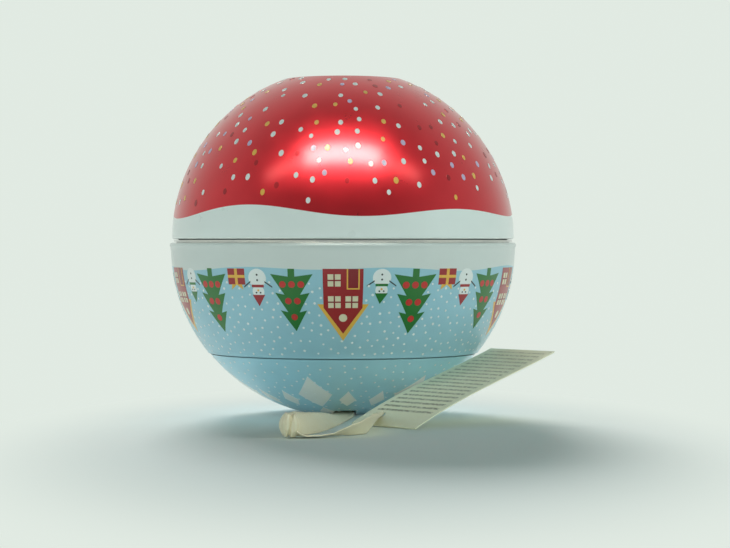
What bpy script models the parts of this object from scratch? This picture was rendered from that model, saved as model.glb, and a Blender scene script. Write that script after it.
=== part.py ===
"""A ball-shaped keepsake tin, standing upside down on its cap.

Three pressed tinplate tiers make the ball: a cap, a middle tier with its own
floor, and a base bowl whose flat base is uppermost. A ribbon loop runs under a
strap at the cap's pole and carries a card tag. Metres, +Z up, origin on the
tin's axis at the level that it stands on, front towards -Y.
"""

from math import acos, asin, cos, degrees, hypot, pi, radians, sin, sqrt

import bmesh
import bpy
from mathutils import Matrix, Vector

MM = 0.001
SEGMENTS = 60
ARC_STEP = radians(7.5)
SEAT_GAP = 0.3 * MM

# The ball, the flats at its two poles and its two seams
BALL_RADIUS = 50.0 * MM
CAP_INSET = 0.27 * MM
DOME_INSET = 0.3 * MM
LANDING_RADIUS = 10.07 * MM
BASE_FLAT_RADIUS = 17.0 * MM
SEAM_RISE = 0.8 * MM
DOME_RISE = 1.5 * MM
CAP_SEAM_DROP = 31.4 * MM

CAP_RADIUS = BALL_RADIUS - CAP_INSET
DOME_RADIUS = BALL_RADIUS - DOME_INSET
BALL_CENTRE = sqrt(CAP_RADIUS**2 - LANDING_RADIUS**2)
DOME_CENTRE = BALL_CENTRE + DOME_RISE
EQUATOR_SEAM = BALL_CENTRE + SEAM_RISE
CAP_SEAM = BALL_CENTRE - CAP_SEAM_DROP
BASE_HEIGHT = DOME_CENTRE + sqrt(DOME_RADIUS**2 - BASE_FLAT_RADIUS**2)

# Tinplate
WALL = 0.4 * MM
BEAD_RADIUS = 0.75 * MM
BEAD_PROUD = 0.3 * MM
HEM_RADIUS = 0.4 * MM
BASE_CORNER = 2.6 * MM
LANDING_CORNER = 2.5 * MM
SHOULDER_DROP = 0.6 * MM

# How the tiers fit together
SLIP_CLEARANCE = 0.45 * MM
FLOOR_DEPTH = 5.4 * MM
BASE_NECK_DEPTH = 4.6 * MM
CAP_NECK_DEPTH = 4.6 * MM
FLOOR_CORNER = 1.2 * MM

# Strap for the ribbon, lanced across a trough at the cap's pole
TROUGH_WIDTH = 7.4 * MM
TROUGH_DEPTH = 1.6 * MM
STRAP_WIDTH = 3.5 * MM
STRAP_THICKNESS = 0.45 * MM

# Ribbon
RIBBON_WIDTH = 6.4 * MM
RIBBON_THICKNESS = 0.35 * MM
RIBBON_CLEAR = 0.15 * MM
RIBBON_STEP = 3.2 * MM

# The loop's route from the knot, under the strap, round under the ball, up through the tag's hole
# and back to the knot: x and y in mm, how far the ribbon is turned onto its edge in degrees, its
# lift off the surface in mm and how much of its width is spread.
ROUTE = (
    (-12.4, -82.0, -74, 0.0, 1.00),
    (-9.6, -76.0, -60, 0.0, 1.00),
    (-7.2, -68.0, -50, 0.0, 1.00),
    (-5.4, -58.0, -40, 0.0, 1.00),
    (-3.8, -48.0, -31, 0.0, 1.00),
    (-2.5, -38.0, -22, 0.0, 1.00),
    (-1.2, -28.0, -12, 0.0, 1.00),
    (-0.3, -20.0, -3, 0.1, 1.00),
    (0.0, -13.4, 0, 0.3, 1.00),
    (0.0, -8.0, 0, 0.7, 1.00),
    (0.0, 0.0, 0, 0.7, 1.00),
    (0.0, 8.0, 0, 0.7, 1.00),
    (0.0, 13.4, 0, 0.3, 1.00),
    (0.8, 19.0, 0, 0.0, 1.00),
    (4.4, 25.4, 0, 0.0, 1.00),
    (11.0, 29.0, 0, 0.0, 1.00),
    (18.2, 27.2, 0, 0.0, 1.00),
    (22.8, 21.4, 0, 0.0, 1.00),
    (24.2, 13.0, 0, 0.0, 1.00),
    (24.6, 3.0, 0, 0.0, 1.00),
    (23.8, -7.0, 0, 0.0, 1.00),
    (21.4, -17.0, 0, 0.0, 1.00),
    (17.4, -25.4, 0, 0.0, 1.00),
    (13.6, -31.4, 0, 0.1, 1.00),
    (11.0, -37.4, 0, 0.2, 0.80),
    (9.0, -44.8, 0, 2.1, 0.50),
    (8.6, -48.6, -8, 2.0, 0.58),
    (8.5, -53.0, -26, 1.1, 0.78),
    (8.4, -61.0, -42, 0.0, 1.00),
    (8.2, -70.0, -54, 0.0, 1.00),
    (6.6, -78.0, -56, 0.0, 1.00),
    (2.6, -82.6, -34, 0.0, 1.00),
    (-2.8, -84.2, -10, 0.0, 1.00),
    (-9.8, -85.6, -4, 0.0, 1.00),
)

# Knot
KNOT_CENTRE = Vector((-13.4, -85.6, 3.35)) * MM
KNOT_SIZE = Vector((6.2, 6.6, 6.6)) * MM

# Tag, whose near edge is on the surface and whose inner edge leans on the cap
TAG_LENGTH = 58.0 * MM
TAG_WIDTH = 24.6 * MM
TAG_THICKNESS = 0.35 * MM
TAG_START = -28.5 * MM
TAG_RISE = 18.5 * MM
TAG_HEADING = radians(42.8)
TAG_BOW = 1.6 * MM
TAG_LEAN_GAP = 0.45 * MM
TAG_HOLE_RADIUS = 2.6 * MM
TAG_HOLE_INSET = 5.0 * MM

OBJECT_NAME = "ball_tin"
CUTTERS_NAME = "cutters"


def clear_scene():
    """Remove whatever the scene holds."""
    for old in list(bpy.data.objects):
        bpy.data.objects.remove(old, do_unlink=True)


def new_collection(name):
    """A collection linked to the scene."""
    made = bpy.data.collections.new(name)
    bpy.context.scene.collection.children.link(made)
    return made


def new_material(name, colour, roughness, metallic):
    """A Principled material with a plain colour."""
    material = bpy.data.materials.new(name)
    material.use_nodes = True
    shader = material.node_tree.nodes["Principled BSDF"]
    shader.inputs["Base Color"].default_value = (*colour, 1.0)
    shader.inputs["Roughness"].default_value = roughness
    shader.inputs["Metallic"].default_value = metallic
    material.diffuse_color = (*colour, 1.0)
    return material


def place_mesh(name, mesh, collection, material=None):
    """An object for the mesh, in the collection."""
    made = bpy.data.objects.new(name, mesh)
    collection.objects.link(made)
    if material:
        mesh.materials.append(material)
    return made


def as_cutter(made):
    """Mark an object as a tool that only cuts."""
    made.hide_render = True
    made.display_type = "WIRE"
    return made


def sphere_radius_at(height, radius, centre):
    """The distance from the axis at which a sphere of this radius has this height."""
    return sqrt(radius**2 - (height - centre) ** 2)


def sphere_arc(radius, centre, top, bottom):
    """Points of a sphere's outline from one height down to another."""
    start = asin((top - centre) / radius)
    end = asin((bottom - centre) / radius)
    count = max(2, round(abs(start - end) / ARC_STEP))
    angles = [start + (end - start) * step / count for step in range(count + 1)]
    return [(radius * cos(a), centre + radius * sin(a)) for a in angles]


def round_arc(centre, radius, start, end, count):
    """Points of a small arc in the section, with its angles in degrees."""
    angles = [radians(start + (end - start) * step / count) for step in range(count + 1)]
    return [(centre[0] + radius * cos(a), centre[1] + radius * sin(a)) for a in angles]


def flat_end_arc(radius, centre, level, corner, steps, upper):
    """The rounding between a sphere and the flat that cuts it, from the sphere to the flat, and the
    height at which it leaves the sphere."""
    side = 1 if upper else -1
    depth = abs(level - centre) - corner
    reach = sqrt((radius - corner) ** 2 - depth**2)
    middle = (reach, centre + side * depth)
    start = degrees(acos(reach / (radius - corner)))
    arc = round_arc(middle, corner, side * start, side * 90, steps)
    return arc, middle[1] + side * corner * sin(radians(start))


def turned(name, section, collection, material=None):
    """A solid turned about Z from a closed section, whose outer side runs from top to bottom, or
    from an open one that starts and ends on the axis."""
    mesh = bpy.data.meshes.new(name)
    form = bmesh.new()
    verts = [form.verts.new((r, 0.0, z)) for r, z in section]
    ends_on_axis = section[0][0] == 0.0 and section[-1][0] == 0.0
    links = zip(verts, verts[1:] if ends_on_axis else verts[1:] + verts[:1])
    for a, b in links:
        form.edges.new((a, b))
    form.to_mesh(mesh)
    form.free()
    made = place_mesh(name, mesh, collection, material)
    screw = made.modifiers.new("Turn", "SCREW")
    screw.axis = "Z"
    screw.angle = 2 * pi
    screw.steps = SEGMENTS
    screw.render_steps = SEGMENTS
    screw.use_merge_vertices = True
    screw.merge_threshold = 0.000001
    screw.use_smooth_shade = True
    return made


def prism(name, outline, depth, collection):
    """A solid with this outline in Y and Z, centred on X."""
    mesh = bpy.data.meshes.new(name)
    form = bmesh.new()
    verts = [form.verts.new((-depth / 2, y, z)) for y, z in outline]
    face = form.faces.new(verts)
    pushed = bmesh.ops.extrude_face_region(form, geom=[face])
    moved = [item for item in pushed["geom"] if isinstance(item, bmesh.types.BMVert)]
    bmesh.ops.translate(form, vec=(depth, 0.0, 0.0), verts=moved)
    bmesh.ops.recalc_face_normals(form, faces=form.faces)
    form.to_mesh(mesh)
    form.free()
    return place_mesh(name, mesh, collection)


def cut(made, cutter, name):
    """Take one solid away from another."""
    boolean = made.modifiers.new(name, "BOOLEAN")
    boolean.operation = "DIFFERENCE"
    boolean.solver = "EXACT"
    boolean.object = cutter


def middle_wall(collection, material):
    """The band of the ball: a bead round its equator, and a neck that the cap slips over."""
    bead = (BALL_RADIUS + BEAD_PROUD - BEAD_RADIUS, EQUATOR_SEAM - BEAD_RADIUS)
    wall_top = bead[1] - BEAD_RADIUS
    neck_radius = CAP_RADIUS - WALL - SLIP_CLEARANCE
    edge = CAP_SEAM + SEAT_GAP
    neck_end = CAP_SEAM - CAP_NECK_DEPTH
    hem = (sphere_radius_at(neck_end, neck_radius, BALL_CENTRE) - WALL, neck_end)
    inner_step = edge + WALL
    section = round_arc(bead, BEAD_RADIUS, 90, -60, 5)
    section += sphere_arc(BALL_RADIUS, BALL_CENTRE, wall_top, edge + WALL)
    section += [(sphere_radius_at(edge, BALL_RADIUS, BALL_CENTRE) - WALL / 2, edge)]
    section += sphere_arc(neck_radius, BALL_CENTRE, edge, neck_end)
    section += round_arc(hem, HEM_RADIUS, -30, -180, 3)
    inner_neck = sphere_arc(neck_radius - WALL, BALL_CENTRE, inner_step, neck_end + HEM_RADIUS)
    section += inner_neck[::-1]
    inner_wall = sphere_arc(BALL_RADIUS - WALL, BALL_CENTRE, wall_top, inner_step)
    section += inner_wall[::-1]
    section += round_arc(bead, BEAD_RADIUS, 215, 125, 3)
    return turned("middle_wall", section, collection, material)


def floor_sizes():
    """The radius inside the floor's skirt, the top of its flange and the level of its panel."""
    inside = BALL_RADIUS + BEAD_PROUD - 2 * BEAD_RADIUS - SLIP_CLEARANCE - WALL
    flange_top = EQUATOR_SEAM + SEAT_GAP + WALL
    return inside, flange_top, flange_top - FLOOR_DEPTH


def middle_floor(collection, material):
    """The countersunk disc that closes the middle tier and takes the base bowl's neck."""
    inside, flange_top, panel = floor_sizes()
    flange_edge = BALL_RADIUS + BEAD_PROUD - BEAD_RADIUS
    outside = inside + WALL
    outer_bend = (outside - FLOOR_CORNER, panel - WALL + FLOOR_CORNER)
    inner_bend = (outer_bend[0], outer_bend[1])
    section = [(0.0, panel), (inner_bend[0], panel)]
    section += round_arc(inner_bend, FLOOR_CORNER - WALL, -60, 0, 2)
    section += [(inside, flange_top), (flange_edge, flange_top)]
    section += [(flange_edge, flange_top - WALL), (outside, flange_top - WALL)]
    section += round_arc(outer_bend, FLOOR_CORNER, 0, -90, 3)
    section += [(0.0, panel - WALL)]
    return turned("middle_floor", section, collection, material)


def base_bowl(collection, material):
    """The dome with the flat base, and the neck that plugs into the middle tier's floor."""
    inside, flange_top, _ = floor_sizes()
    neck_outside = inside - SLIP_CLEARANCE
    neck_inside = neck_outside - WALL
    shoulder = flange_top + SEAT_GAP
    neck_end = flange_top - BASE_NECK_DEPTH
    hem = (neck_outside - HEM_RADIUS, neck_end + HEM_RADIUS)
    corner, corner_start = flat_end_arc(DOME_RADIUS, DOME_CENTRE, BASE_HEIGHT, BASE_CORNER, 4, True)
    inner_corner, inner_start = flat_end_arc(
        DOME_RADIUS - WALL, DOME_CENTRE, BASE_HEIGHT - WALL, BASE_CORNER - WALL, 3, True
    )
    rim_top = shoulder + SHOULDER_DROP
    section = [(0.0, BASE_HEIGHT)]
    section += corner[::-1]
    section += sphere_arc(DOME_RADIUS, DOME_CENTRE, corner_start, rim_top)[1:]
    section += [(DOME_RADIUS - WALL / 2, shoulder)]
    section += [(neck_outside + WALL, shoulder), (neck_outside, shoulder - WALL)]
    section += round_arc(hem, HEM_RADIUS, 0, -180, 4)
    section += [(neck_inside, hem[1] + HEM_RADIUS), (neck_inside, shoulder + WALL)]
    inner_wall = sphere_arc(DOME_RADIUS - WALL, DOME_CENTRE, inner_start, rim_top + WALL)
    section += inner_wall[::-1]
    section += inner_corner[1:]
    section += [(0.0, BASE_HEIGHT - WALL)]
    return turned("base_bowl", section, collection, material)


def trough_outline(grown):
    """The trough's outline in Y and Z, with the strap left standing, or grown by the wall. It
    reaches past the place where the ball rises clear of it."""
    half = sphere_radius_at(TROUGH_DEPTH + 2 * WALL, CAP_RADIUS, BALL_CENTRE)
    below = -2 * TROUGH_DEPTH
    strap = STRAP_WIDTH / 2
    if grown:
        top = TROUGH_DEPTH + WALL
        return [(-half, below), (half, below), (half, top), (-half, top)]
    front = [(-half, below), (-strap, below), (-strap, STRAP_THICKNESS)]
    back = [(strap, STRAP_THICKNESS), (strap, below), (half, below)]
    return front + back + [(half, TROUGH_DEPTH), (-half, TROUGH_DEPTH)]


def cap_section(radius, level, corner, top):
    """The outline of the cap's outside, or of its hollow, from the axis and back to it."""
    end, end_start = flat_end_arc(radius, BALL_CENTRE, level, corner, 3, False)
    section = [(0.0, top)]
    section += sphere_arc(radius, BALL_CENTRE, top, end_start)
    section += end[1:]
    section += [(0.0, level)]
    return section


def top_cap(collection, cutters, material):
    """The cap, with its standing flat, and the trough and strap pressed into its pole."""
    outside = cap_section(CAP_RADIUS, 0.0, LANDING_CORNER, CAP_SEAM)
    made = turned("top_cap", outside, collection, material)
    inside = cap_section(CAP_RADIUS - WALL, WALL, LANDING_CORNER - WALL, CAP_SEAM + WALL)
    hollow = as_cutter(turned("cap_hollow", inside, cutters))
    trough = as_cutter(prism("trough", trough_outline(False), TROUGH_WIDTH, cutters))
    pan_width = TROUGH_WIDTH + 2 * WALL
    pan = as_cutter(prism("trough_pan", trough_outline(True), pan_width, cutters))
    cut(hollow, pan, "Keep pan")
    cut(made, hollow, "Hollow")
    cut(made, trough, "Trough")
    return made


def blend_points(rows, share):
    """A smooth value between the two middle rows of four."""
    a, b, c, d = rows
    made = []
    for p, q, r, s in zip(a, b, c, d):
        curve = 2 * q + (r - p) * share + (2 * p - 5 * q + 4 * r - s) * share**2
        made.append((curve + (3 * q - p - 3 * r + s) * share**3) / 2)
    return made


def smooth_route(rows, spacing):
    """The route's rows read closely from a smooth curve through them."""
    padded = [rows[0], *rows, rows[-1]]
    made = []
    for index in range(len(rows) - 1):
        four = padded[index : index + 4]
        span = hypot(four[2][0] - four[1][0], four[2][1] - four[1][1]) * MM
        count = max(1, round(span / spacing))
        made += [blend_points(four, step / count) for step in range(count)]
    return made + [list(rows[-1])]


def ribbon_points():
    """Each point of the ribbon: its place, its turn onto edge and the share of its width."""
    points = []
    for x, y, turn, lift, spread in smooth_route(ROUTE, RIBBON_STEP):
        half = RIBBON_WIDTH / 2 * spread
        stand = half * abs(sin(radians(turn))) + RIBBON_THICKNESS / 2 * abs(cos(radians(turn)))
        height = RIBBON_CLEAR + stand + lift * MM
        points.append((Vector((x * MM, y * MM, height)), radians(turn), spread))
    return points


def ribbon_profile(cutters):
    """The ribbon's section, as a guide for the curve."""
    outline = bpy.data.curves.new("ribbon_section", "CURVE")
    outline.dimensions = "2D"
    line = outline.splines.new("POLY")
    half, thick = RIBBON_WIDTH / 2, RIBBON_THICKNESS / 2
    corners = [(-half, thick), (0.0, thick), (half, thick), (half, -thick), (0.0, -thick), (-half, -thick)]
    line.points.add(len(corners) - 1)
    for point, (x, y) in zip(line.points, corners):
        point.co = (x, y, 0.0, 1.0)
    line.use_cyclic_u = True
    made = bpy.data.objects.new("ribbon_section", outline)
    cutters.objects.link(made)
    return as_cutter(made)


def hanging_ribbon(collection, cutters, material):
    """The flat ribbon, which stands on its edge where it is turned."""
    path = bpy.data.curves.new("hanging_ribbon", "CURVE")
    path.dimensions = "3D"
    path.twist_mode = "Z_UP"
    path.bevel_mode = "OBJECT"
    path.bevel_object = ribbon_profile(cutters)
    path.use_fill_caps = True
    line = path.splines.new("POLY")
    points = ribbon_points()
    line.points.add(len(points) - 1)
    for point, (place, turn, spread) in zip(line.points, points):
        point.co = (*place, 1.0)
        point.tilt = turn
        point.radius = spread
    made = bpy.data.objects.new("hanging_ribbon", path)
    path.materials.append(material)
    collection.objects.link(made)
    return made


def ribbon_knot(collection, material):
    """The knot: a full round wrap with a pinched waist."""
    mesh = bpy.data.meshes.new("ribbon_knot")
    form = bmesh.new()
    bmesh.ops.create_cube(form, size=1.0)
    bmesh.ops.subdivide_edges(form, edges=form.edges, cuts=2, use_grid_fill=True)
    for vert in form.verts:
        waist = 0.86 if abs(vert.co.z) < 0.3 else 1.0
        vert.co.x *= waist
        vert.co.y *= waist
    bmesh.ops.scale(form, vec=KNOT_SIZE, verts=form.verts)
    form.to_mesh(mesh)
    form.free()
    made = place_mesh("ribbon_knot", mesh, collection, material)
    made.location = KNOT_CENTRE
    smooth = made.modifiers.new("Round", "SUBSURF")
    smooth.levels = 1
    smooth.render_levels = 1
    return made


def tag_frame():
    """The tag's outer near corner, and its directions: along its length, across its near edge and
    out of its face. Its inner edge passes the cap at the lean gap."""
    plan = sqrt(TAG_LENGTH**2 - TAG_RISE**2)
    heading = Vector((cos(TAG_HEADING), sin(TAG_HEADING), 0.0))
    across = Vector((-sin(TAG_HEADING), cos(TAG_HEADING), 0.0))
    along = (heading * plan + Vector((0.0, 0.0, TAG_RISE))).normalized()
    below = (BALL_CENTRE - TAG_THICKNESS) * plan + TAG_START * TAG_RISE
    beside = sqrt((CAP_RADIUS + TAG_LEAN_GAP) ** 2 - (below / TAG_LENGTH) ** 2)
    corner = heading * TAG_START - across * (beside + TAG_WIDTH)
    return corner, along, across, along.cross(across)


def tag_bow(share):
    """How far the card stands off its chord at this share of its length."""
    return TAG_BOW * 4 * share * (1 - share) ** 2


def swing_tag(collection, cutters, material):
    """The card: a thin sheet on a slope, a little bowed, with a punched hole by its near corner."""
    corner, along, across, out = tag_frame()
    mesh = bpy.data.meshes.new("swing_tag")
    form = bmesh.new()
    bmesh.ops.create_grid(form, x_segments=12, y_segments=3, size=0.5)
    start = corner + Vector((0.0, 0.0, TAG_THICKNESS))
    for vert in form.verts:
        length_share = vert.co.x + 0.5
        width_share = vert.co.y + 0.5
        place = start + along * TAG_LENGTH * length_share + across * TAG_WIDTH * width_share
        vert.co = place + out * tag_bow(length_share)
    bmesh.ops.recalc_face_normals(form, faces=form.faces)
    if next(iter(form.faces)).normal.z < 0:
        bmesh.ops.reverse_faces(form, faces=form.faces)
    form.to_mesh(mesh)
    form.free()
    made = place_mesh("swing_tag", mesh, collection, material)
    card = made.modifiers.new("Card", "SOLIDIFY")
    card.thickness = TAG_THICKNESS
    card.offset = 0.0
    share = TAG_HOLE_INSET / TAG_LENGTH
    centre = start + along * TAG_HOLE_INSET + across * (TAG_WIDTH - TAG_HOLE_INSET)
    punch_mesh = bpy.data.meshes.new("punch")
    form = bmesh.new()
    turn = out.to_track_quat("Z", "Y").to_matrix().to_4x4()
    bmesh.ops.create_cone(
        form,
        cap_ends=True,
        segments=16,
        radius1=TAG_HOLE_RADIUS,
        radius2=TAG_HOLE_RADIUS,
        depth=TAG_HOLE_RADIUS * 4,
        matrix=Matrix.Translation(centre + out * tag_bow(share)) @ turn,
    )
    form.to_mesh(punch_mesh)
    form.free()
    punch = as_cutter(place_mesh("punch", punch_mesh, cutters))
    cut(made, punch, "Hole")
    return made


def main():
    """Build the tin."""
    clear_scene()
    parts = new_collection(OBJECT_NAME)
    cutters = new_collection(CUTTERS_NAME)
    red = new_material("red enamel", (0.50, 0.02, 0.03), 0.32, 0.6)
    snow = new_material("pale band print", (0.55, 0.70, 0.72), 0.40, 0.1)
    blue = new_material("pale blue print", (0.40, 0.62, 0.70), 0.40, 0.1)
    plate = new_material("bare tinplate", (0.62, 0.63, 0.64), 0.30, 0.9)
    cream = new_material("cream ribbon", (0.80, 0.70, 0.52), 0.65, 0.0)
    card = new_material("cream card", (0.78, 0.74, 0.60), 0.80, 0.0)
    base_bowl(parts, red)
    middle_wall(parts, snow)
    middle_floor(parts, plate)
    top_cap(parts, cutters, blue)
    hanging_ribbon(parts, cutters, cream)
    ribbon_knot(parts, cream)
    swing_tag(parts, cutters, card)


main()
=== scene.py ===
"""Looks for a ball-shaped keepsake tin: printed enamel on tinplate, a ribbon loop and a card tag.

The tin stands upside down on its cap, as the frame has it: the base bowl is uppermost, the middle
tier carries the village frieze, and the ribbon runs under the strap at the cap's pole. Angles round
the ball are 0 at the front (-Y) and positive towards +X. Metres throughout.
"""

import random
from math import acos, asin, atan2, cos, degrees, exp, hypot, pi, radians, sin, sqrt

import bmesh
import bpy
from mathutils import Matrix, Vector

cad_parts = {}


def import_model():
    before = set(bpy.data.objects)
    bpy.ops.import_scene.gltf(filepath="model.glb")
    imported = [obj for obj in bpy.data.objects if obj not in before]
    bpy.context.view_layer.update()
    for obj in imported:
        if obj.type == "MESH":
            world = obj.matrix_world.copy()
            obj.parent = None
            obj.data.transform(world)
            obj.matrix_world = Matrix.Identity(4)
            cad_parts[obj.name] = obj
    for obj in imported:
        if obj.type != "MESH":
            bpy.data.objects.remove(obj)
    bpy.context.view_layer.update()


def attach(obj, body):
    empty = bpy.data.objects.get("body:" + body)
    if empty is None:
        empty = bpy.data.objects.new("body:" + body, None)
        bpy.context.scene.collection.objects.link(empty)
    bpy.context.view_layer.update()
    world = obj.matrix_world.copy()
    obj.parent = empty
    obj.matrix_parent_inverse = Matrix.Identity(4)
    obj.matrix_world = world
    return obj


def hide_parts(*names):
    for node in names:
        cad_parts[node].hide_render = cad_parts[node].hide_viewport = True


MM = 0.001

# The ball, its flats and its seams, as the solids have them
BALL_RADIUS = 50.0 * MM
CAP_RADIUS = 49.73 * MM
DOME_RADIUS = 49.7 * MM
LANDING_RADIUS = 10.07 * MM
BASE_FLAT_RADIUS = 17.0 * MM
BALL_CENTRE = sqrt(CAP_RADIUS**2 - LANDING_RADIUS**2)
DOME_CENTRE = BALL_CENTRE + 1.5 * MM
EQUATOR_SEAM = BALL_CENTRE + 0.8 * MM
CAP_SEAM = BALL_CENTRE - 31.4 * MM
BASE_HEIGHT = DOME_CENTRE + sqrt(DOME_RADIUS**2 - BASE_FLAT_RADIUS**2)
WALL = 0.4 * MM
SEAT_GAP = 0.3 * MM
SLIP_CLEARANCE = 0.45 * MM
BEAD_RADIUS = 0.75 * MM
BEAD_PROUD = 0.3 * MM
HEM_RADIUS = 0.4 * MM
BASE_CORNER = 2.6 * MM
LANDING_CORNER = 2.5 * MM
SHOULDER_DROP = 0.6 * MM
FLOOR_DEPTH = 5.4 * MM
FLOOR_CORNER = 1.2 * MM
BASE_NECK_DEPTH = 4.6 * MM
CAP_NECK_DEPTH = 4.6 * MM
TROUGH_WIDTH = 7.4 * MM
TROUGH_DEPTH = 1.6 * MM
STRAP_WIDTH = 3.5 * MM
STRAP_THICKNESS = 0.45 * MM
FLANGE_INSET = 0.45 * MM
EDGE_BEND = 0.6 * WALL
BEAD_FLARE = 0.9 * MM

# How finely shapes are cut, and how near two points are one
TURN_STEPS = 160
MERGE_DISTANCE = 1e-7
ON_AXIS = 1e-9
ARC_STEP = radians(2.5)
SHARP_ANGLE = radians(38)

# Printed surfaces
DOME = (DOME_RADIUS, DOME_CENTRE)
BAND = (BALL_RADIUS, BALL_CENTRE)
CAP = (CAP_RADIUS, BALL_CENTRE)
PRINT_LIFT = 0.025 * MM
PRINT_LAYER = 0.02 * MM
PRINT_THICKNESS = 0.05 * MM
PRINT_CELL = 1.6
PRINT_CLEARANCE = 0.5
DOT_CLEARANCE = 0.55
DOT_SIDES = 12
DOT_TAPER = 0.94
DOT_SIZES = (0.86, 1.14)
SCATTER_TRIES = 60000

# Frieze, in millimetres along the band's middle
FRIEZE_MIDDLE = radians(-20.0)
FRIEZE_FOOT = radians(-7.2)
FRIEZE_LENGTH = 2 * pi * BALL_RADIUS * cos(FRIEZE_MIDDLE) / MM
FRIEZE_GROUPS = 5
FRIEZE_START = -7.6

# Confetti on the base bowl: each ink's share of the dots, and how they thin out towards the margin
CONFETTI_SEED = 11
CONFETTI_COUNT = 340
CONFETTI_SPACING = 3.6 * MM
CONFETTI_LOWEST = radians(12)
CONFETTI_HIGHEST = radians(68)
CONFETTI_THINNEST = 0.35
CONFETTI_FILLING = radians(30)
CONFETTI_RADIUS = 0.68 * MM
CONFETTI_STRETCH = 1.35
CONFETTI_SHARES = (("snow", 0.42), ("lilac", 0.14), ("gold", 0.26), ("deep_red", 0.18))

# Snow dots: how many, from which latitude to which, how far apart, and their radius
SNOWFALL_SEED = 23
BAND_SNOW = (620, radians(-37.0), radians(-11.5), 2.3 * MM, 0.34 * MM)
CAP_SNOW = (400, radians(-76), radians(-41), 2.5 * MM, 0.32 * MM)

# Snowflake: how far off the pole each lozenge of an arm starts, its turn off the arm, its length
# and its width, in millimetres and degrees
FLAKE_ARMS = 6
FLAKE_TURN = 13
FLAKE_LOZENGES = ((20.5, 0, 17.0, 10.5), (12.2, 0, 7.6, 4.6), (21.0, -20, 9.5, 5.0), (21.0, 20, 9.5, 5.0))

# Ribbon: each ripple has its height and its turns along the ribbon, and each row of the route has its
# place in millimetres, its turn onto edge in degrees, its lift and its share of the width, or ends
# earlier where the rest is as in the plain row
RIBBON_WIDTH = 6.4 * MM
RIBBON_THICKNESS = 0.35 * MM
RIBBON_CLEAR = 0.15 * MM
RIBBON_STEP = 0.8 * MM
RIBBON_ACROSS = 10
RIBBON_TRIM = 0.985
RIBBON_WEAVE = 0.8
EDGE_RIPPLE = (0.05 * MM, 1.9)
FACE_RIPPLE = (0.04 * MM, 0.8)
ROUTE = (
    (-12.4, -82.0, -74),
    (-9.6, -76.0, -60),
    (-7.2, -68.0, -50),
    (-5.4, -58.0, -40),
    (-3.8, -48.0, -31),
    (-2.5, -38.0, -22),
    (-1.2, -28.0, -12),
    (-0.3, -20.0, -3, 0.1),
    (0.0, -13.4, 0, 0.3),
    (0.0, -8.0, 0, 0.7),
    (0.0, 0.0, 0, 0.7),
    (0.0, 8.0, 0, 0.7),
    (0.0, 13.4, 0, 0.3),
    (0.8, 19.0),
    (4.4, 25.4),
    (11.0, 29.0),
    (18.2, 27.2),
    (22.8, 21.4),
    (24.2, 13.0),
    (24.6, 3.0),
    (23.8, -7.0),
    (21.4, -17.0),
    (17.4, -25.4),
    (13.6, -31.4, 0, 0.1),
    (11.0, -37.4, 0, 0.2, 0.80),
    (9.0, -44.8, 0, 2.1, 0.50),
    (8.6, -48.6, -8, 2.0, 0.58),
    (8.5, -53.0, -26, 1.1, 0.78),
    (8.4, -61.0, -42),
    (8.2, -70.0, -54),
    (6.6, -78.0, -56),
    (2.6, -82.6, -34),
    (-2.8, -84.2, -10),
    (-9.8, -85.6, -4),
)
STRAP_ROW = (0.0, 0.0, 0, 0.7)
PLAIN_ROW = (0.0, 0.0, 0, 0.0, 1.0)
FRONT_END = (-13.2, -84.8, -66, 0.0, 0.80)
BACK_END = (-12.4, -86.0, -12, 0.9, 0.80)
KNOT_CENTRE = Vector((-13.4, -85.6, 3.35)) * MM
KNOT_SIZE = Vector((6.2, 6.6, 6.6)) * MM
KNOT_SIDES = (72, 48)
KNOT_DRAWN = 0.92
KNOT_FULLNESS = 0.16
KNOT_FOLDS = ((0.022, 9, 6), (0.016, 17, -11))
CREASE_DEPTH = 0.30
CREASE_WIDTH = 0.07
CREASE_PLACE = 0.02
CREASE_SLANT = 0.16

# Tag
TAG_LENGTH = 58.0 * MM
TAG_WIDTH = 24.6 * MM
TAG_THICKNESS = 0.35 * MM
TAG_START = -28.5 * MM
TAG_RISE = 18.5 * MM
TAG_HEADING = radians(42.8)
TAG_BOW = 1.6 * MM
TAG_LEAN_GAP = 0.45 * MM
TAG_HOLE_RADIUS = 2.6 * MM
TAG_HOLE_INSET = 5.0 * MM
TAG_TRIM = 0.999
TAG_CELLS = (64, 28)
TAG_HOLE_SIDES = 48
RULE_PITCH = 2.6 * MM
RULE_SHARE = 0.42
RULE_FIRST = 8.6 * MM
RULE_MARGIN = 1.9 * MM

# View
CAMERA_DISTANCE = 650.0 * MM
CAMERA_LENS = 110.0
SENSOR_WIDTH = 36.0
FOCAL_PIXELS = 2237.0
AXIS_OFFSET_PIXELS = 22.0
HORIZON_OFFSET_PIXELS = 31.5

# Snow drift line: its height, its swells and ripples, and where they start
DRIFT_VALUES = {"Height": 0.05, "Swell": 0.001, "Swells": 5, "Ripple": 0.0005, "Ripples": 3, "Turn": 0}
DRIFT_SHARPNESS = 12000.0

# Enamel's unevenness
SKIN_SCALE = 2600.0
SKIN_DEPTH = 0.02 * MM
SKIN_STRENGTH = 0.35
TONE_SCALE = 150.0

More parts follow.
